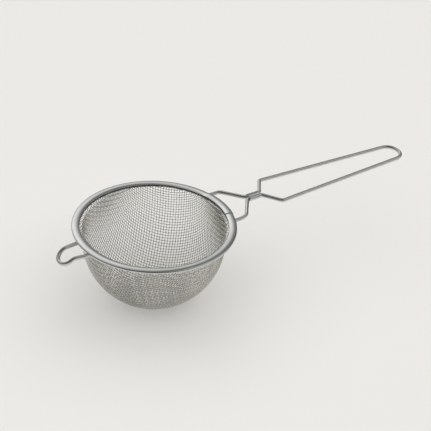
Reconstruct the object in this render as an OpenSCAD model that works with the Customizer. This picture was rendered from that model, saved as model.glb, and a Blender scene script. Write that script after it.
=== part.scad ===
// Hand-held tea strainer: a drawn bowl of woven wire cloth, a folded rim band, a looped wire
// handle with a crimped sleeve, and a small wire hook that rests on the cup.
// The rim lies level. Z = 0 is the top of the rim, the Z axis is the bowl's own axis, and the
// handle leaves along +X.

/* [Rim] */
// Outside diameter of the rim band
rim_d = 80; // [70:1:90]
// Width of the rim band, seen from above
rim_w = 4; // [3.6:0.1:5]
// Rise of the crowned top above its inner edge
rim_crown = 0.4; // [0.3:0.05:0.5]
// Radius of the fold round the outer edge
fold_r = 0.7; // [0.65:0.01:0.75]
// Thickness of the strip that the band is folded from
strip_t = 0.3; // [0.25:0.01:0.3]
// Angle of the lapped seam's visible edge, from the handle
lap_start = -14; // [-20:1:-8]
// Angle that the lapped ends cover
lap_angle = 28; // [20:1:40]

/* [Bowl] */
// Distance from the band's inner edge in to the bowl's outside
bowl_inset = 1; // [1:0.1:3]
// Depth of the straight neck above the hemisphere, from the top of the rim
neck_depth = 8; // [4:0.5:12]
// Thickness of the wire cloth
mesh_t = 0.55; // [0.45:0.01:0.58]
// Radius of the bend from the bowl's wall to its flange, on the outside
flange_bend = 0.8; // [0.7:0.05:1]

/* [Wire] */
// Diameter of the handle and hook wire
wire_d = 2; // [1.6:0.1:2.2]
// Depth to which the welded ends are set into the band
weld_set = 0.05; // [0.02:0.01:0.1]

/* [Handle] */
// Distance from the rim's edge to the middle of the wire at the handle's tip
handle_l = 110.3; // [90:0.1:130]
// Half the distance between the wire's two ends at the rim
neck_half = 12.9; // [10:0.1:15]
// Distance from the rim's edge to the neck's corners
neck_l = 5; // [4:0.5:7]
// Distance from the rim's edge to the near end of the sleeve
sleeve_out = 14; // [12:0.5:16]
// Length of the sleeve
sleeve_l = 6.7; // [5:0.1:9]
// Thickness of the sleeve's wall
sleeve_t = 0.45; // [0.3:0.05:0.6]
// Distance from the rim's edge to the handle's shoulders
shoulder_out = 28; // [27:0.5:32]
// Half the handle's width at its shoulders
shoulder_half = 10.7; // [8:0.1:14]
// Half the handle's width at its tip
tip_half = 6.1; // [6:0.1:8]
// Bend radius of the tip's two corners
tip_bend = 6; // [3:0.1:6]
// Bend radius of the neck's two corners
neck_bend = 4; // [2:0.1:5]
// Bend radius at the sleeve and at the shoulders
bend_r = 1.8; // [1.2:0.1:2]
// Height of the handle wire at the sleeve, from the top of the rim
sleeve_z = -1.25; // [-2:0.05:0]
// Rise of the handle from the sleeve to the tip
handle_rise = 1.9; // [0:0.1:6]

/* [Hook] */
// Distance from the rim's edge to the middle of the wire at the hook's end
hook_l = 10.8; // [10.8:0.1:18]
// Distance from the rim's edge to the place where the hook bends down
hook_bend_at = 5.8; // [4:0.1:5.8]
// Bend radius there
hook_bend = 4; // [2:0.1:4]
// Half the hook's width at the rim
hook_root_half = 5.6; // [5:0.1:7]
// Half the hook's width in its loop
hook_half = 4.7; // [4:0.1:4.8]
// Droop of the hook below its welded ends
hook_droop = 3.4; // [0.5:0.1:4]

/* [Hidden] */
$fn = 64;

steel = "gainsboro";
wire_r = wire_d / 2;
rim_r = rim_d / 2;
rim_mid = rim_r - rim_w / 2;
bowl_r = rim_r - rim_w - bowl_inset;
arc_steps = 12;
// Each bend is a hair fuller than the straights, and the straights run a hair into it, so that
// they fuse into one solid.
bend_fuller = 0.01;
straight_overrun = 0.05;

// The band's crown is an arc through its inner edge and its highest point. The fold's arc is
// tangent to it and reaches out to the rim's radius.
crown_r = (pow(rim_w / 2, 2) + pow(rim_crown, 2)) / (2 * rim_crown);
fold_x = rim_r - fold_r;
fold_turn = asin((fold_x - rim_mid) / (crown_r - fold_r));
fold_z = -crown_r + (crown_r - fold_r) * cos(fold_turn);
crown_turn = asin(rim_w / 2 / crown_r);
rim_bottom = fold_z - fold_r;

// The cloth's flange lies on the band's lower leaf.
flange_z = rim_bottom + strip_t;
bend_x = bowl_r + flange_bend;
bend_z = flange_z - flange_bend;

// The flange's edge stops short of the fold.
flange_r = fold_x - 0.2;

// The welded ends of both wires touch the band from below. Each end stops a little inside the
// band's middle, and its weld sits a little outside it.
weld_z = rim_bottom - wire_r + weld_set;
weld_r = rim_mid - 1;
weld_out = 0.2;
weld_l = 2.4;
// Angle, from the wire's top, at which the weld's foot leaves the wire
weld_foot = 50;

// Past the rim both wires take slight bends: this is their radius, and the distances from the
// rim's edge at which they start.
slight_bend = 8;
handle_clear = 0.4;
hook_clear = 0.6;

// Places along the handle and the hook, from the bowl's axis
neck_x = rim_r + neck_l;
sleeve_x = rim_r + sleeve_out;
shoulder_x = rim_r + shoulder_out;
handle_reach = rim_r + handle_l;
hook_reach = rim_r + hook_l;

// Two strands run side by side in the sleeve, a hair apart.
strand_y = wire_r + 0.05;
neck_turn = atan((neck_half - strand_y) / (sleeve_x - neck_x));
shoulder_turn = atan((shoulder_half - strand_y) / (shoulder_x - sleeve_x - sleeve_l));
neck_bend_in = bend_r * tan(neck_turn / 2);
shoulder_bend_in = bend_r * tan(shoulder_turn / 2);
handle_slope = handle_rise / (handle_reach - sleeve_x);
// By the neck's corners the wire has come in a little, and has climbed this share of the way
// from its weld to the sleeve.
neck_taper = 0.4;
neck_climb = 0.35;

// The hook narrows in two steps and runs level up to its bend. The loop is a half circle, with
// a short flat at its end.
hook_taper = 0.1;
loop_flat = 0.12;

function unit(v) = v / norm(v);
function turn(a, b) = acos(max(-1, min(1, unit(a) * unit(b))));
function mirrored(points) = [for (i = [len(points) - 1:-1:0]) [points[i].x, -points[i].y, points[i].z]];
function reversed(list) = [for (i = [len(list) - 1:-1:0]) list[i]];

// Points along an arc in the section plane
function arc(x, z, r, from, to) =
    [for (i = [0:arc_steps]) let (a = from + (to - from) * i / arc_steps) [x + r * cos(a), z + r * sin(a)]];

// One side of the folded strip, set in by a distance from its outer face
function band_path(inset) = concat(
    arc(rim_mid, -crown_r, crown_r - inset, 90 + crown_turn, 90 - fold_turn),
    arc(fold_x, fold_z, fold_r - inset, 90 - fold_turn, -90),
    [[rim_r - rim_w, rim_bottom + inset]]);

// Height of the handle wire over the run from the sleeve to the tip
function handle_z(x) = sleeve_z + handle_slope * (x - sleeve_x);

// Half of the handle wire's line, from its welded end to the tip
function handle_half() = [
    [sqrt(pow(weld_r, 2) - pow(neck_half, 2)), neck_half, weld_z],
    [rim_r + handle_clear, neck_half, weld_z],
    [neck_x, neck_half - neck_taper, weld_z + (sleeve_z - weld_z) * neck_climb],
    [sleeve_x - neck_bend_in, strand_y, handle_z(sleeve_x - neck_bend_in)],
    [sleeve_x + sleeve_l + shoulder_bend_in, strand_y, handle_z(sleeve_x + sleeve_l + shoulder_bend_in)],
    [shoulder_x, shoulder_half, handle_z(shoulder_x)],
    [handle_reach, tip_half, handle_z(handle_reach)]];
handle_bends = [0, slight_bend, neck_bend, bend_r, bend_r, bend_r, tip_bend];

// Half of the hook wire's line, from its welded end to the loop
function hook_half_line() = [
    [-sqrt(pow(weld_r, 2) - pow(hook_root_half, 2)), hook_root_half, weld_z],
    [-rim_r - hook_clear, hook_root_half - hook_taper, weld_z],
    [-rim_r - hook_bend_at, hook_half + hook_taper, weld_z],
    [-hook_reach, hook_half, weld_z - hook_droop]];
hook_bends = [0, slight_bend, hook_bend, hook_half - loop_flat];

// A straight length of round wire
module rod(from, to) {
    v = to - from;
    translate(from)
        rotate([0, acos(unit(v).z), atan2(v.y, v.x)])
            cylinder(r = wire_r, h = norm(v));
}

// A round bend at a corner, in the plane of its two legs
module elbow(before, corner, after, r) {
    u = unit(corner - before);
    w = unit(after - corner);
    angle = turn(u, w);
    n = unit(cross(u, w));
    side = cross(n, u);
    start = corner - u * r * tan(angle / 2);
    centre = start + side * r;
    multmatrix([
        [-side.x, u.x, n.x, centre.x],
        [-side.y, u.y, n.y, centre.y],
        [-side.z, u.z, n.z, centre.z],
        [0, 0, 0, 1]])
        rotate_extrude(angle = angle)
            translate([r, 0])
                circle(r = wire_r + bend_fuller);
}

// Round wire along a line of points, with a bend radius for each corner
module bent_wire(points, radii) {
    last = len(points) - 1;
    setback = [for (i = [0:last])
        i == 0 || i == last ? 0
        : radii[i] * tan(turn(points[i] - points[i - 1], points[i + 1] - points[i]) / 2)];
    for (i = [0:last - 1]) {
        along = unit(points[i + 1] - points[i]);
        from = i == 0 ? 0 : setback[i] - straight_overrun;
        to = i + 1 == last ? 0 : setback[i + 1] - straight_overrun;
        rod(points[i] + along * from, points[i + 1] - along * to);
    }
    for (i = [1:last - 1])
        elbow(points[i - 1], points[i], points[i + 1], radii[i]);
}

// A weld's squeezed-out metal: it fills the hollow between the wire and the band
module weld(x, y, heading) {
    translate([x, y, weld_z])
        rotate([0, 0, heading])
            rotate([90, 0, 90])
                translate([0, 0, -weld_l / 2])
                    linear_extrude(height = weld_l)
                        difference() {
                            polygon([
                                [-wire_r, wire_r - weld_set],
                                [wire_r, wire_r - weld_set],
                                [wire_r * sin(weld_foot), wire_r * cos(weld_foot)],
                                [-wire_r * sin(weld_foot), wire_r * cos(weld_foot)]]);
                            circle(r = wire_r);
                        }
}

module mesh_bowl() {
    inner_r = bowl_r - mesh_t;
    color(steel)
        rotate_extrude($fn = 96)
            polygon(concat(
                arc(0, -neck_depth, bowl_r, -90, 0),
                reversed(arc(bend_x, bend_z, flange_bend, 90, 180)),
                [[flange_r, flange_z], [flange_r, flange_z + mesh_t]],
                arc(bend_x, bend_z, flange_bend + mesh_t, 90, 180),
                reversed(arc(0, -neck_depth, inner_r, -90, 0))));
}

module rim_band() {
    color(steel) {
        rotate_extrude($fn = 96)
            polygon(concat(band_path(0), reversed(band_path(strip_t))));
        rotate([0, 0, lap_start])
            rotate_extrude(angle = lap_angle, $fn = 96)
                polygon(concat(band_path(-strip_t), reversed(band_path(0))));
    }
}

module handle_wire() {
    half = handle_half();
    color(steel)
        bent_wire(concat(half, mirrored(half)), concat(handle_bends, reversed(handle_bends)));
}

module sleeve() {
    lean = atan(handle_slope);
    color(steel)
        translate([sleeve_x, 0, sleeve_z])
            rotate([0, -lean, 0])
                rotate([90, 0, 90])
                    linear_extrude(height = sleeve_l)
                        difference() {
                            union() {
                                for (s = [-1, 1])
                                    translate([s * strand_y, 0])
                                        circle(r = wire_r + sleeve_t);
                                square([2 * strand_y, wire_d + sleeve_t], center = true);
                            }
                            for (s = [-1, 1])
                                translate([s * strand_y, 0])
                                    circle(r = wire_r);
                        }
}

module hook_wire() {
    half = hook_half_line();
    color(steel)
        bent_wire(concat(half, mirrored(half)), concat(hook_bends, reversed(hook_bends)));
}

module handle_welds() {
    color(steel)
        for (s = [-1, 1])
            weld(sqrt(pow(rim_mid, 2) - pow(neck_half, 2)) + weld_out, s * neck_half, 0);
}

module hook_welds() {
    color(steel)
        for (s = [-1, 1])
            weld(-sqrt(pow(rim_mid, 2) - pow(hook_root_half, 2)) - weld_out, s * hook_root_half, 180);
}

mesh_bowl();
rim_band();
handle_wire();
sleeve();
hook_wire();
handle_welds();
hook_welds();
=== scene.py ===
# %% [markdown]
# # A tea strainer, piece by piece
# The strainer is five pieces of stainless steel: a bowl of woven wire cloth, a strip of sheet folded
# round its edge as a rim, a long wire handle, the sleeve that grips the handle's two strands, and a
# small wire hook. Small welds hold the wires to the rim. The measured design is loaded first as a
# fixed frame, and every piece made here takes its place from that frame.

# %% Load the frame
import math

import bpy
from mathutils import Matrix, Vector


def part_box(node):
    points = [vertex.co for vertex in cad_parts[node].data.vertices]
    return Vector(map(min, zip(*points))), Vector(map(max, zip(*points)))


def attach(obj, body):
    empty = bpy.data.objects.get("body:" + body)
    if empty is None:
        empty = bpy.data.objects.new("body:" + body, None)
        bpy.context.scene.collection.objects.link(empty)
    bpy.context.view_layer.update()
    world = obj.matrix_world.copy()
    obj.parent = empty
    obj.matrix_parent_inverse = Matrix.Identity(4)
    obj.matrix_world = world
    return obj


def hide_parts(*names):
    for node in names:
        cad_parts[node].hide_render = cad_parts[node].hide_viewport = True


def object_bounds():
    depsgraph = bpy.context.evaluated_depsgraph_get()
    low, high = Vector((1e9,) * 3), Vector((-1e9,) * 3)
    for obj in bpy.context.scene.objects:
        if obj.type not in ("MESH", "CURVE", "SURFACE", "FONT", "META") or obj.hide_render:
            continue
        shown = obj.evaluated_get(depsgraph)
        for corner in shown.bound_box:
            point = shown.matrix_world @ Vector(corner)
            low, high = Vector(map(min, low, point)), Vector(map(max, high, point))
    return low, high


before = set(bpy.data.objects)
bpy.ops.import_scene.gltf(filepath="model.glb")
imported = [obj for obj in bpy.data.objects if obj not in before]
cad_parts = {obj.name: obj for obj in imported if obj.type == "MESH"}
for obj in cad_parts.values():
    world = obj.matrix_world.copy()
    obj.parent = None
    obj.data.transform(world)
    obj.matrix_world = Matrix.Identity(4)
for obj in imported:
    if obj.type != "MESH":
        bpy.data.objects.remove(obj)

MM = 0.001
cad_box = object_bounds()
size = cad_box[1] - cad_box[0]
print("frame:", ", ".join(sorted(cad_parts)), "| size in mm:", [round(v / MM, 1) for v in size])

# %% [markdown]
# ## Measures
# The strip's and the wire's own sizes are typed in, and so are the places of the wires' bends further
# on. Outer sizes and heights are read from the frame's boxes, so that each piece ends where the
# frame's does.

# %% Measures of the frame's pieces
rim_low, rim_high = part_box("rim_band")
cloth_low, cloth_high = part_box("mesh_bowl")
handle_low, handle_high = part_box("handle_wire")
hook_low, hook_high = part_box("hook_wire")

STRIP = 0.3 * MM
RIM_WIDTH = 4 * MM
RIM_CROWN = 0.4 * MM
FOLD_RADIUS = 0.7 * MM
WIRE_RADIUS = 1.0 * MM
SHARP = math.radians(50)
rim_radius = -rim_low.x
floor_z = cloth_low.z
print("rim radius", round(rim_radius / MM, 2), "mm, floor at", round(floor_z / MM, 2), "mm")

# %% [markdown]
# ## Small helpers
# Everything is deselected before a primitive is added, because an operator acts on all that is
# selected. A piece is shaped in edit mode, and its faces and edges are picked in code by where
# they lie. A finished piece has its place in its own mesh, rides on the frame's one body, and
# names the finish that it takes.

# %% Helpers for modelling
def clear_selection():
    if bpy.context.object and bpy.context.object.mode != "OBJECT":
        bpy.ops.object.mode_set(mode="OBJECT")
    bpy.ops.object.select_all(action="DESELECT")


def edit(piece):
    clear_selection()
    bpy.context.view_layer.objects.active = piece
    piece.select_set(True)
    bpy.ops.object.mode_set(mode="EDIT")
    bpy.ops.mesh.select_mode(type="VERT")


def pick(piece, wanted):
    """Selects the vertices whose place passes the test, and says how many there are."""
    bpy.ops.object.mode_set(mode="OBJECT")
    for part in (piece.data.polygons, piece.data.edges):
        part.foreach_set("select", [False] * len(part))
    chosen = [bool(wanted(v.co)) for v in piece.data.vertices]
    piece.data.vertices.foreach_set("select", chosen)
    bpy.ops.object.mode_set(mode="EDIT")
    return sum(chosen)


def modifier(piece, kind, **settings):
    """Adds a modifier, sets it and applies it."""
    clear_selection()
    bpy.context.view_layer.objects.active = piece
    piece.select_set(True)
    added = piece.modifiers.new(kind.title(), kind)
    for name, value in settings.items():
        setattr(added, name, value)
    bpy.ops.object.modifier_apply(modifier=added.name)


def settle_in_place(piece):
    """Moves the object's place, turn and scale into its mesh."""
    clear_selection()
    bpy.context.view_layer.objects.active = piece
    piece.select_set(True)
    bpy.ops.object.transform_apply(location=True, rotation=True, scale=True)


def finish_piece(piece, node, material, smooth=30):
    settle_in_place(piece)
    bpy.ops.object.shade_smooth_by_angle(angle=math.radians(smooth))
    piece.data.materials.clear()
    piece.data.materials.append(material)
    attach(piece, "root")
    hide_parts(node)
    print(piece.name, "has", len(piece.data.polygons), "faces")


# %% [markdown]
# ## Finishes
# A finish is a small tree of shader nodes. So that its maths reads as maths, a socket is wrapped in
# a class that knows plus and times. Everything else is made by one method that
# takes a node's kind, its settings and its inputs.

# %% Shader maths as arithmetic
class Value:
    """A socket that can be used in arithmetic."""

    def __init__(self, finish, socket):
        self.finish = finish
        self.socket = socket

    def join(self, operation, *terms):
        return self.finish.add("Math", terms, operation=operation)

    def __add__(self, other):
        return self.join("ADD", self, other)

    def __mul__(self, other):
        return self.join("MULTIPLY", self, other)

    __radd__ = __add__
    __rmul__ = __mul__


class Nodes:
    """A tree of nodes that ends in one shader."""

    def __init__(self, owner, shader):
        owner.use_nodes = True
        self.tree = owner.node_tree
        self.shader = self.tree.nodes[shader]

    def add(self, kind, inputs=(), output=0, stops=(), **settings):
        node = self.tree.nodes.new("ShaderNode" + kind)
        for name, value in settings.items():
            setattr(node, name, value)
        for at, (place, colour) in enumerate(stops):
            ramp = node.color_ramp.elements
            stop = ramp[at] if at < 2 else ramp.new(place)
            stop.position = place
            stop.color = (*colour, 1)
        pairs = inputs.items() if isinstance(inputs, dict) else enumerate(inputs)
        for socket, value in pairs:
            self.feed(node.inputs[socket], value)
        return Value(self, node.outputs[output])

    def feed(self, socket, value):
        if isinstance(value, Value):
            self.tree.links.new(value.socket, socket)
        else:
            socket.default_value = value

    def drive(self, **inputs):
        for name, value in inputs.items():
            self.feed(self.shader.inputs[name.replace("_", " ")], value)

    def vector(self, x, y, z):
        return self.add("CombineXYZ", [x, y, z])

    def dot(self, first, second):
        return self.add("VectorMath", [first, second], output="Value", operation="DOT_PRODUCT")

    def rise(self, value, stops):
        """A number read off a curve of greys, from its places and values."""
        return self.add("ValToRGB", [value], stops=[(at, (grey, grey, grey)) for at, grey in stops])


class Finish(Nodes):
    """A material made of nodes around one Principled shader."""

    def __init__(self, name, **constants):
        self.material = bpy.data.materials.new(name)
        super().__init__(self.material, "Principled BSDF")
        for socket, value in constants.items():
            self.shader.inputs[socket.replace("_", " ")].default_value = value

    def place(self):
        """The point on the piece in metres, as three numbers."""
        point = self.add("TexCoord", output="Object")
        return [self.add("SeparateXYZ", [point], output=axis) for axis in range(3)]

    def noise(self, vector, scale=1.0, detail=2.0, roughness=0.5):
        inputs = {"Vector": vector, "Scale": scale, "Detail": detail, "Roughness": roughness}
        return self.add("TexNoise", inputs)

    def mix(self, factor, first, second):
        """A colour between two others."""
        node = self.tree.nodes.new("ShaderNodeMix")
        node.data_type = "RGBA"
        sockets = node.inputs[0], node.inputs[6], node.inputs[7]
        for socket, value in zip(sockets, (factor, first, second)):
            self.feed(socket, (*value, 1) if isinstance(value, tuple) else value)
        return Value(self, node.outputs[2])

    def bump(self, height, strength, distance):
        inputs = {"Strength": strength, "Distance": distance, "Height": height}
        self.drive(Normal=self.add("Bump", inputs))


# %% [markdown]
# ## Polished strip
# The rim is rolled from bright strip. Rolling and polishing leave fine lines that run round the rim,
# so the noise is stretched: its coordinates change fast across the band and slowly along it.
# Handling leaves faint cloudy patches, where the steel is a little duller.

# %% Finish of the rim band
def strip_finish():
    f = Finish("polished strip", Metallic=1.0)
    x, y, z = f.place()
    across = f.add("VectorMath", [f.vector(x, y, 0.0)], output="Value", operation="LENGTH")
    round_rim = f.add("Math", [y, x], operation="ARCTAN2")
    lines = f.noise(f.vector(across * 9000, round_rim * 5, z * 9000), detail=3)
    clouds = f.noise(f.vector(x * 160, y * 160, z * 160), detail=3)
    colour = f.mix(clouds, (0.62, 0.63, 0.62), (0.75, 0.76, 0.745))
    f.drive(Base_Color=colour, Roughness=0.06 + lines * 0.08 + clouds * 0.05)
    f.bump(lines, 0.12, 0.02 * MM)
    return f.material


# %% [markdown]
# ## Drawn wire
# Wire is pulled through a die, which leaves lines along its length. On a bent wire the lines follow
# the bends, so the pattern uses the wire's own map: one number round the wire, one along it.

# %% Finish of the handle and hook wire
def wire_finish(name, length):
    f = Finish(name, Metallic=1.0)
    wire_map = f.add("TexCoord", output="UV")
    along = f.add("SeparateXYZ", [wire_map], output=0)
    around = f.add("SeparateXYZ", [wire_map], output=1)
    x, y, z = f.place()
    # The pattern goes round in a circle, so that it closes where the map's two edges meet.
    turn_x = f.add("Math", [around * (2 * math.pi)], operation="COSINE")
    turn_y = f.add("Math", [around * (2 * math.pi)], operation="SINE")
    lines = f.noise(f.vector(turn_x * 14, turn_y * 14, along * (length / MM * 0.12)), detail=3)
    clouds = f.noise(f.vector(x * 240, y * 240, z * 240), detail=2)
    colour = f.mix(clouds, (0.58, 0.58, 0.57), (0.72, 0.72, 0.71))
    f.drive(Base_Color=colour, Roughness=0.12 + lines * 0.16 + clouds * 0.05)
    f.bump(lines, 0.15, 0.02 * MM)
    return f.material


# %% [markdown]
# ## Wire cloth
# The cloth's wires are annealed and a little duller than the handle. Each wire differs slightly
# from the next, and the cloth carries faint warm patches from forming and washing.

# %% Finish of the cloth
PATCH_BRIGHTER = 1.22


def cloth_finish(name, tint):
    f = Finish(name, Metallic=1.0)
    x, y, z = f.place()
    patches = f.noise(f.vector(x * 70, y * 70, z * 70), detail=3)
    grains = f.noise(f.vector(x * 2400, y * 2400, z * 2400), detail=1)
    colour = f.mix(patches, tint, tuple(c * PATCH_BRIGHTER for c in tint))
    f.drive(Base_Color=colour, Roughness=0.14 + grains * 0.10 + patches * 0.06)
    f.bump(grains, 0.2, 0.02 * MM)
    return f.material


# %% Finish of the sleeve and of the welds
def sleeve_finish():
    f = Finish("pressed sleeve", Metallic=1.0)
    x, y, z = f.place()
    lines = f.noise(f.vector(x * 900, y * 7000, z * 7000), detail=3)
    dents = f.noise(f.vector(x * 700, y * 700, z * 700), detail=2)
    colour = f.mix(dents, (0.60, 0.61, 0.61), (0.74, 0.75, 0.75))
    f.drive(Base_Color=colour, Roughness=0.18 + lines * 0.2)
    f.bump(lines + dents * 2.0, 0.35, 0.03 * MM)
    return f.material


def weld_finish():
    f = Finish("weld metal", Metallic=1.0)
    x, y, z = f.place()
    beads = f.noise(f.vector(x * 1500, y * 1500, z * 1500), detail=3)
    heat = f.noise(f.vector(x * 500, y * 500, z * 500), detail=1)
    colour = f.mix(heat, (0.42, 0.39, 0.34), (0.58, 0.58, 0.57))
    f.drive(Base_Color=colour, Roughness=0.32 + beads * 0.3)
    f.bump(beads, 0.5, 0.06 * MM)
    return f.material


# %% [markdown]
# ## Cloth drawn to a bowl
# The bowl starts as a flat disc of plain-woven cloth, pressed over a round punch. The wires hardly
# stretch: the square cells fold into diamonds instead, most of all half-way between the two wire
# directions. So each crossing lies on the bowl and exactly one pitch from its two older
# neighbours, and the whole net follows from the two straight wires that cross at the bottom.
# Nothing in Blender's tools weaves cloth, so the crossings are worked out here, in one quarter
# of the bowl, and the other three quarters mirror it.

# %% The cloth's middle surface
PITCH = 1.41 * MM
CLOTH_WIRE = 0.30 * MM
CLOTH_THICK = 0.55 * MM
NECK_DEPTH = 8 * MM
FLANGE_BEND = 0.8 * MM
WEAVE_TURN = math.radians(48)
CLOTH_SHORT_OF_FLANGE = 0.5 * MM
WIRE_ROUNDS = 8
CROSSING_ROUNDS = 60

bowl_outside = -cloth_low.z - NECK_DEPTH
bowl_radius = bowl_outside - CLOTH_THICK / 2
flange_z = cloth_high.z - CLOTH_THICK / 2
bend_radius = FLANGE_BEND + CLOTH_THICK / 2
bend_x = bowl_outside + FLANGE_BEND
bend_z = flange_z - bend_radius
cloth_end = cloth_high.x - CLOTH_SHORT_OF_FLANGE


def onto_cloth(point):
    """The nearest point of the cloth's middle surface, and the direction out of the bowl there."""
    if point.z <= -NECK_DEPTH:
        middle = Vector((0, 0, -NECK_DEPTH))
        out = (point - middle).normalized()
        return middle + out * bowl_radius, out
    level = Vector((point.x, point.y, 0)).normalized()
    if point.z <= bend_z:
        return level * bowl_radius + Vector((0, 0, point.z)), level
    ring = level * bend_x + Vector((0, 0, bend_z))
    if point.xy.length >= bend_x:
        return Vector((point.x, point.y, flange_z)), Vector((0, 0, -1))
    away = (point - ring).normalized()
    return ring + away * bend_radius, -away


# %% The net of crossings in one quarter
def straight_wire(direction):
    """Crossings along a wire that runs straight up the bowl from its lowest point."""
    points = [Vector((0, 0, cloth_low.z + CLOTH_THICK / 2))]
    step = direction * PITCH
    while points[-1].xy.length < cloth_end:
        point = points[-1] + step
        for _ in range(WIRE_ROUNDS):
            point = onto_cloth(points[-1] + (point - points[-1]).normalized() * PITCH)[0]
        step = point - points[-1]
        points.append(point)
    return points


def next_crossing(left, below, corner):
    """The point of the cloth that is one pitch from both older neighbours."""
    point = left + below - corner
    for _ in range(CROSSING_ROUNDS):
        point = left + (point - left).normalized() * PITCH
        point = below + (point - below).normalized() * PITCH
        point = onto_cloth(point)[0]
    return point


net = {(i, 0): p for i, p in enumerate(straight_wire(Vector((1, 0, 0))))}
net.update({(0, j): p for j, p in enumerate(straight_wire(Vector((0, 1, 0))))})
reach = max(i for i, _ in net)
for i in range(1, reach):
    for j in range(1, reach):
        older = net.get((i - 1, j)), net.get((i, j - 1)), net.get((i - 1, j - 1))
        if None not in older and max(older[0].xy.length, older[1].xy.length) < cloth_end:
            net[i, j] = next_crossing(*older)
print("crossings in one quarter:", len(net), "| wires each way:", 2 * reach + 1)

# %% [markdown]
# Each wire passes over one crossing wire and under the next. Its line is lifted out of the middle
# surface by half a wire at one crossing and pushed in by as much at the next, and crosses the
# middle surface half-way between. A curve with a round bevel turns each line into wire.

# %% Weave the wires
turned = Matrix.Rotation(WEAVE_TURN, 3, "Z")


def crossing(i, j):
    """A crossing in any quarter, mirrored from the first."""
    found = net.get((abs(i), abs(j)))
    if found is None or found.xy.length > cloth_end:
        return None
    return Vector((math.copysign(found.x, i), math.copysign(found.y, j), found.z))


def wire_line(fixed, along_first, side):
    """Points along one wire, lifted and sunk in turn."""
    line = []
    previous = None
    for k in range(-reach, reach + 1):
        i, j = (k, fixed) if along_first else (fixed, k)
        point = crossing(i, j)
        if point is None:
            continue
        if previous is not None:
            line.append(onto_cloth((previous + point) / 2)[0])
        surface, out = onto_cloth(point)
        over = side if (i + j) % 2 else -side
        line.append(surface + out * over * CLOTH_WIRE / 2)
        previous = point
    return [turned @ p for p in line]


def tube(name, lines, radius, sides_detail):
    """Round wire along each of the lines, as one mesh."""
    clear_selection()
    curve = bpy.data.curves.new(name, "CURVE")
    curve.dimensions = "3D"
    curve.bevel_depth = radius
    curve.bevel_resolution = sides_detail
    curve.use_fill_caps = True
    for line in lines:
        spline = curve.splines.new("POLY")
        spline.points.add(len(line) - 1)
        for at, point in zip(spline.points, line):
            at.co = (*point, 1)
    piece = bpy.data.objects.new(name, curve)
    bpy.context.scene.collection.objects.link(piece)
    bpy.context.view_layer.objects.active = piece
    piece.select_set(True)
    bpy.ops.object.convert(target="MESH")
    return bpy.context.object


def weave(name, along_first, side, tint):
    lines = [wire_line(fixed, along_first, side) for fixed in range(-reach, reach + 1)]
    lines = [line for line in lines if len(line) > 2]
    piece = tube(name, lines, CLOTH_WIRE / 2, 1)
    finish_piece(piece, "mesh_bowl", cloth_finish(name, tint), smooth=80)
    print(name, "has", len(lines), "wires")


weave("cloth_warp", True, 1, (0.58, 0.57, 0.535))
weave("cloth_weft", False, -1, (0.59, 0.58, 0.54))

# %% [markdown]
# ## Rim band
# The rim is one strip, folded over the cloth's flange and closed on itself with a lapped seam beside
# the handle. By hand it is a short story: a small circle gives the fold round the outer edge, its
# inner part is deleted, the upper end is spun on along the flat crown, the lower end is extruded
# inwards, and the whole section is spun round the bowl. The first stretch is raised by one
# thickness, because there the strip lies over its own other end.

# %% Measures of the strip's section
LAP_START = math.radians(-14)
LAP_ANGLE = math.radians(28)
STEP_DOWN = math.radians(5)
UNDER_LAP = math.radians(26)
RIM_STEP = math.radians(1.5)
LAP_LIFT = STRIP * 1.04
RIM_EDGE = 0.06 * MM
LEAF_STEPS = 3

rim_middle = rim_radius - RIM_WIDTH / 2
crown_radius = ((RIM_WIDTH / 2) ** 2 + RIM_CROWN ** 2) / (2 * RIM_CROWN)
fold_x = rim_radius - FOLD_RADIUS
fold_turn = math.asin((fold_x - rim_middle) / (crown_radius - FOLD_RADIUS))
crown_turn = math.asin(RIM_WIDTH / 2 / crown_radius)
fold_z = -crown_radius + (crown_radius - FOLD_RADIUS) * math.cos(fold_turn)


def on_fold(point):
    """The part of the fold's circle between the crown and the lower leaf."""
    angle = math.atan2(point.z - fold_z, point.x - fold_x)
    return -math.pi / 2 - 0.02 < angle < math.pi / 2 - fold_turn + 0.02


# %% The strip's section, from a circle
clear_selection()
bpy.ops.mesh.primitive_circle_add(
    vertices=72, radius=FOLD_RADIUS, location=(fold_x, 0, fold_z), rotation=(math.pi / 2, 0, 0))
rim = bpy.context.object
rim.name = "rim_strip"
settle_in_place(rim)
edit(rim)
pick(rim, lambda p: not on_fold(p))
bpy.ops.mesh.delete(type="VERT")
bpy.ops.object.mode_set(mode="OBJECT")
highest = max((v.co for v in rim.data.vertices), key=lambda p: p.z).copy()
lowest = min((v.co for v in rim.data.vertices), key=lambda p: p.z).copy()
bpy.ops.object.mode_set(mode="EDIT")
pick(rim, lambda p: p.z > highest.z - 1e-6)
bpy.ops.mesh.spin(
    steps=14, angle=crown_turn + fold_turn, center=(rim_middle, 0, -crown_radius), axis=(0, 1, 0))
pick(rim, lambda p: p.z < lowest.z + 1e-7)
inwards = (rim_radius - RIM_WIDTH - lowest.x) / LEAF_STEPS
for _ in range(LEAF_STEPS):
    bpy.ops.mesh.extrude_region_move(TRANSFORM_OT_translate={"value": (inwards, 0, 0)})
bpy.ops.object.mode_set(mode="OBJECT")
section = [v.co for v in rim.data.vertices]
inner_edge = min(p.x for p in section)
print("section of", len(section), "points, inner edge at", round(inner_edge / MM, 2), "mm")

# %% Spin the raised end, then the rest of the strip
def bearing(point):
    return math.atan2(point.y, point.x)


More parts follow.
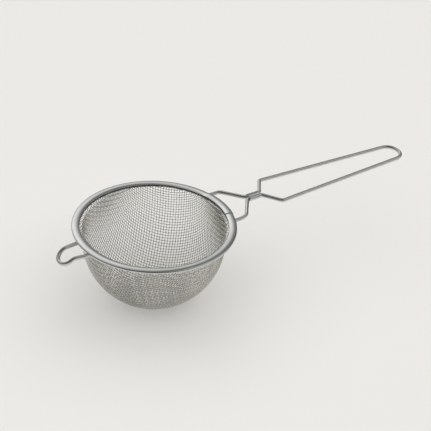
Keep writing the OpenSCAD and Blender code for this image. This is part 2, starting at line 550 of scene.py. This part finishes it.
edit(rim)
bpy.ops.mesh.select_all(action="SELECT")
bpy.ops.transform.rotate(value=-LAP_START, orient_axis="Z", center_override=(0, 0, 0))
raised_turn = LAP_ANGLE + STEP_DOWN
bpy.ops.mesh.spin(
    steps=round(raised_turn / RIM_STEP * 2), angle=-raised_turn, center=(0, 0, 0), axis=(0, 0, 1))
bpy.ops.mesh.select_all(action="SELECT")
bpy.ops.mesh.normals_make_consistent(inside=False)
bpy.ops.object.mode_set(mode="OBJECT")
bearings = sorted({round(bearing(v.co), 5) for v in rim.data.vertices})
first_bearing, last_bearing = (round(math.degrees(b), 1) for b in (bearings[0], bearings[-1]))
print("raised end from", first_bearing, "to", last_bearing, "degrees")
outward = 1 if max(rim.data.polygons, key=lambda f: f.center.z).normal.z > 0 else -1
bpy.ops.object.mode_set(mode="EDIT")
lap_end = bearings[-1] - STEP_DOWN
for turn in bearings:
    down = max(0.0, (turn - lap_end) / STEP_DOWN)
    lift = 1 - down * down * (3 - 2 * down)
    pick(rim, lambda p: abs(bearing(p) - turn) < 1e-4)
    bpy.ops.transform.shrink_fatten(value=outward * lift * LAP_LIFT)
pick(rim, lambda p: abs(bearing(p) - bearings[-1]) < 1e-4)
rest = 2 * math.pi - raised_turn + UNDER_LAP
bpy.ops.mesh.spin(steps=round(rest / RIM_STEP), angle=-rest, center=(0, 0, 0), axis=(0, 0, 1))
bpy.ops.mesh.select_all(action="SELECT")
bpy.ops.mesh.remove_doubles(threshold=1e-6)
bpy.ops.mesh.normals_make_consistent(inside=False)
bpy.ops.object.mode_set(mode="OBJECT")
if max(rim.data.polygons, key=lambda f: f.center.z).normal.z < 0:
    edit(rim)
    bpy.ops.mesh.select_all(action="SELECT")
    bpy.ops.mesh.flip_normals()
modifier(rim, "SOLIDIFY", thickness=STRIP, offset=-1)
modifier(rim, "BEVEL", width=RIM_EDGE, segments=2, limit_method="ANGLE", angle_limit=SHARP)
finish_piece(rim, "rim_band", strip_finish())

# %% [markdown]
# ## Bent wire
# The handle and the hook are bent from round wire on a jig: straight lengths with an arc at each
# corner. A small function turns a list of corners and bend radii into a line of points, and the same
# bevelled curve as the cloth's makes the wire.

# %% Lines with rounded corners
def rounded(corners, radii, step=math.radians(6)):
    """The corners' line, with an arc of the given radius in place of each inner corner."""
    line = [corners[0]]
    for at in range(1, len(corners) - 1):
        corner = corners[at]
        arriving = (corner - corners[at - 1]).normalized()
        leaving = (corners[at + 1] - corner).normalized()
        turn = arriving.angle(leaving)
        across = arriving.cross(leaving).normalized()
        setback = radii[at] * math.tan(turn / 2)
        start = corner - arriving * setback
        centre = start + across.cross(arriving) * radii[at]
        parts = max(2, math.ceil(turn / step))
        for part in range(parts + 1):
            line.append(centre + Matrix.Rotation(turn * part / parts, 3, across) @ (start - centre))
    line.append(corners[-1])
    return line


def both_sides(half, radii):
    """The half of a symmetric wire and its mirror image, joined at the far end."""
    mirrored = [Vector((p.x, -p.y, p.z)) for p in reversed(half)]
    return rounded(half + mirrored, radii + radii[::-1])


def spaced(line, longest):
    """The line with its long stretches divided, so that the wire's map runs evenly."""
    points = [line[0]]
    for a, b in zip(line, line[1:]):
        parts = max(1, math.ceil((b - a).length / longest))
        points += [a.lerp(b, part / parts) for part in range(1, parts + 1)]
    return points


def length_of(line):
    return sum((b - a).length for a, b in zip(line, line[1:]))


# %% The handle
NECK_HALF = 12.9 * MM
NECK_X = 45 * MM
NECK_BEND = 4 * MM
STRAND_Y = WIRE_RADIUS + 0.05 * MM
SHOULDER_X = 68 * MM
SHOULDER_HALF = 10.7 * MM
TIP_HALF = 6.1 * MM
TIP_BEND = 6 * MM
BEND = 1.8 * MM
SLEEVE_START = 54 * MM
SLEEVE_END = 60.7 * MM
SLEEVE_Z = -1.25 * MM
WELD_INSIDE = 1 * MM
HANDLE_CLEAR = 0.4 * MM
NECK_TAPER = 0.4 * MM
NECK_CLIMB = 0.35
SLIGHT_BEND = 8 * MM
weld_z = handle_low.z + WIRE_RADIUS
weld_r = rim_middle - WELD_INSIDE
handle_reach = handle_high.x - WIRE_RADIUS
tip_z = handle_high.z - WIRE_RADIUS
handle_slope = (tip_z - SLEEVE_Z) / (handle_reach - SLEEVE_START)


def on_handle(x, y):
    return Vector((x, y, SLEEVE_Z + handle_slope * (x - SLEEVE_START)))


neck_in = BEND * math.tan(math.atan((NECK_HALF - STRAND_Y) / (SLEEVE_START - NECK_X)) / 2)
shoulder_in = BEND * math.tan(math.atan((SHOULDER_HALF - STRAND_Y) / (SHOULDER_X - SLEEVE_END)) / 2)
handle_half = [
    Vector((math.sqrt(weld_r ** 2 - NECK_HALF ** 2), NECK_HALF, weld_z)),
    Vector((rim_radius + HANDLE_CLEAR, NECK_HALF, weld_z)),
    Vector((NECK_X, NECK_HALF - NECK_TAPER, weld_z + (SLEEVE_Z - weld_z) * NECK_CLIMB)),
    on_handle(SLEEVE_START - neck_in, STRAND_Y),
    on_handle(SLEEVE_END + shoulder_in, STRAND_Y),
    on_handle(SHOULDER_X, SHOULDER_HALF),
    on_handle(handle_reach, TIP_HALF)]
handle_radii = [0, SLIGHT_BEND, NECK_BEND, BEND, BEND, BEND, TIP_BEND]
handle_line = spaced(both_sides(handle_half, handle_radii), 4 * MM)
handle = tube("handle_bent_wire", [handle_line], WIRE_RADIUS, 8)
handle_length = length_of(handle_line)
finish_piece(handle, "handle_wire", wire_finish("handle wire", handle_length), smooth=60)
print("handle wire is", round(handle_length / MM), "mm long")

# %% The hook
HOOK_ROOT_HALF = 5.6 * MM
HOOK_HALF = 4.7 * MM
HOOK_BEND_AT = 5.8 * MM
HOOK_BEND = 4 * MM
HOOK_CLEAR = 0.6 * MM
HOOK_TAPER = 0.1 * MM
LOOP_FLAT = 0.12 * MM
hook_reach = -hook_low.x - WIRE_RADIUS
hook_weld_z = hook_high.z - WIRE_RADIUS
hook_end_z = hook_low.z + WIRE_RADIUS
hook_half = [
    Vector((-math.sqrt(weld_r ** 2 - HOOK_ROOT_HALF ** 2), HOOK_ROOT_HALF, hook_weld_z)),
    Vector((-rim_radius - HOOK_CLEAR, HOOK_ROOT_HALF - HOOK_TAPER, hook_weld_z)),
    Vector((-rim_radius - HOOK_BEND_AT, HOOK_HALF + HOOK_TAPER, hook_weld_z)),
    Vector((-hook_reach, HOOK_HALF, hook_end_z))]
hook_radii = [0, SLIGHT_BEND, HOOK_BEND, HOOK_HALF - LOOP_FLAT]
hook_line = spaced(both_sides(hook_half, hook_radii), 2 * MM)
hook = tube("hook_bent_wire", [hook_line], WIRE_RADIUS, 8)
finish_piece(hook, "hook_wire", wire_finish("hook wire", length_of(hook_line)), smooth=60)

# %% [markdown]
# ## Sleeve
# The sleeve is a short length of tube, pushed over both strands and pressed flat, so that it follows
# the two wires and dips between them. It starts as a circle round one strand: its two halves are
# moved apart, the middle is pinched, and the outline is extruded along the strands in short steps.

# %% Press the sleeve
SLEEVE_WALL = 0.42 * MM
SLEEVE_STEPS = 10
SLEEVE_PINCH = 0.45 * MM
SLEEVE_MOUTH = 0.94
SLEEVE_EDGE = 0.1 * MM
MIDLINE = 0.01 * MM

clear_selection()
sleeve_z0 = on_handle(SLEEVE_START, 0).z
bpy.ops.mesh.primitive_circle_add(
    vertices=48, radius=WIRE_RADIUS + SLEEVE_WALL, location=(SLEEVE_START, 0, sleeve_z0),
    rotation=(0, math.pi / 2, 0))
sleeve = bpy.context.object
sleeve.name = "pressed_sleeve"
settle_in_place(sleeve)
edit(sleeve)
for side in (-1, 1):
    pick(sleeve, lambda p: p.y * side > MIDLINE)
    bpy.ops.transform.translate(value=(0, side * STRAND_Y, 0))
for side in (-1, 1):
    pick(sleeve, lambda p: abs(p.y) < MIDLINE and (p.z - sleeve_z0) * side > 0)
    bpy.ops.transform.translate(value=(0, 0, -side * SLEEVE_PINCH))
bpy.ops.mesh.select_all(action="SELECT")
for step in range(SLEEVE_STEPS):
    bpy.ops.mesh.extrude_region_move(
        TRANSFORM_OT_translate={"value": ((SLEEVE_END - SLEEVE_START) / SLEEVE_STEPS, 0, 0)})
    if step in (0, SLEEVE_STEPS - 2):
        tighter = SLEEVE_MOUTH if step == 0 else 1 / SLEEVE_MOUTH
        bpy.ops.transform.resize(value=(1, 1, tighter), center_override=(0, 0, sleeve_z0))
bpy.ops.mesh.select_all(action="SELECT")
bpy.ops.transform.rotate(
    value=math.atan(handle_slope), orient_axis="Y", center_override=(SLEEVE_START, 0, sleeve_z0))
bpy.ops.mesh.normals_make_consistent(inside=False)
bpy.ops.object.mode_set(mode="OBJECT")
modifier(sleeve, "SOLIDIFY", thickness=SLEEVE_WALL, offset=-1)
modifier(sleeve, "BEVEL", width=SLEEVE_EDGE, segments=2, limit_method="ANGLE", angle_limit=SHARP)
modifier(sleeve, "SUBSURF", levels=2, render_levels=2)
finish_piece(sleeve, "sleeve", sleeve_finish(), smooth=60)

# %% [markdown]
# ## Welds
# The four welds stay as they are in the frame. They only need their finish: dull metal with a trace
# of the weld's heat.

# %% Finish of the welds in the frame
welded = weld_finish()
for node in ("handle_welds", "hook_welds"):
    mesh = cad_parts[node].data
    mesh.materials.clear()
    mesh.materials.append(welded)
print("welds finished")

# %% [markdown]
# ## Table, light and camera
# The strainer stands on a plain pale table under one broad soft lamp. The surround lights nothing:
# the steel only mirrors it. It has three soft patches of light and is dim everywhere else, because
# polished steel only shows its shape when it has something dark to mirror.

# %% Table
clear_selection()
bpy.ops.mesh.primitive_plane_add(size=6, location=(0, 0, floor_z))
table = bpy.context.object
table.name = "table"
paper = bpy.data.materials.new("pale table")
paper.use_nodes = True
paper_shader = paper.node_tree.nodes["Principled BSDF"]
paper_shader.inputs["Base Color"].default_value = (0.80, 0.79, 0.765, 1)
paper_shader.inputs["Roughness"].default_value = 0.9
paper_shader.inputs["Specular IOR Level"].default_value = 0.1
table.data.materials.append(paper)

# %% Surround
# Each patch grows brighter the closer a direction lies to the patch's middle.
AWAY = Vector((0.56, 0.83, 0))
LEFT = Vector((-0.83, 0.56, 0))
UP = Vector((0, 0, 1))
WALL_TOWARDS = (AWAY * 0.80 + LEFT * 0.25 + UP * 0.52).normalized()
WINDOW_TOWARDS = (AWAY * 0.45 + LEFT * 0.55 + UP * 0.70).normalized()
FILL_TOWARDS = (UP * 0.69 - LEFT * 0.73).normalized()

world = bpy.data.worlds.new("studio")
bpy.context.scene.world = world
sky = Nodes(world, "Background")
direction = sky.add("TexCoord", output="Generated")
wall_light = sky.rise(sky.dot(direction, WALL_TOWARDS), [(0.78, 0.11), (0.92, 0.29), (0.99, 0.80)])
window_light = sky.rise(sky.dot(direction, WINDOW_TOWARDS), [(0.73, 0.0), (0.80, 0.04), (0.90, 0.30)])
fill_light = sky.rise(sky.dot(direction, FILL_TOWARDS), [(0.70, 0.0), (0.95, 0.42)])
sky.drive(Color=wall_light + window_light + fill_light)
world.cycles_visibility.diffuse = False

# %% Light
LAMP_SIZE = 10
LAMP_HEIGHT = 3
LAMP_POWER = 352

lamp = bpy.data.lights.new("soft light", "AREA")
lamp.shape = "DISK"
lamp.size = LAMP_SIZE
lamp.energy = LAMP_POWER
softbox = bpy.data.objects.new("soft light", lamp)
bpy.context.scene.collection.objects.link(softbox)
softbox.location = (0, 0, LAMP_HEIGHT)
softbox.visible_glossy = False

# %% Camera
CAMERA_PLACE = Vector((-256.9, -431.4, 333.3)) * MM
CAMERA_AIM = Vector((29.8, -7.8, 0)) * MM
CAMERA_ROLL = math.radians(3.5)
LENS_LENGTH = 104.4

lens = bpy.data.cameras.new("camera")
lens.lens = LENS_LENGTH
lens.sensor_width = 36
lens.clip_start = 0.01
camera = bpy.data.objects.new("camera", lens)
bpy.context.scene.collection.objects.link(camera)
camera.location = CAMERA_PLACE
aim = (CAMERA_AIM - CAMERA_PLACE).to_track_quat("-Z", "Y").to_matrix()
camera.rotation_euler = (aim @ Matrix.Rotation(CAMERA_ROLL, 3, "Z")).to_euler()
bpy.context.scene.camera = camera
bpy.context.scene.view_settings.view_transform = "Standard"
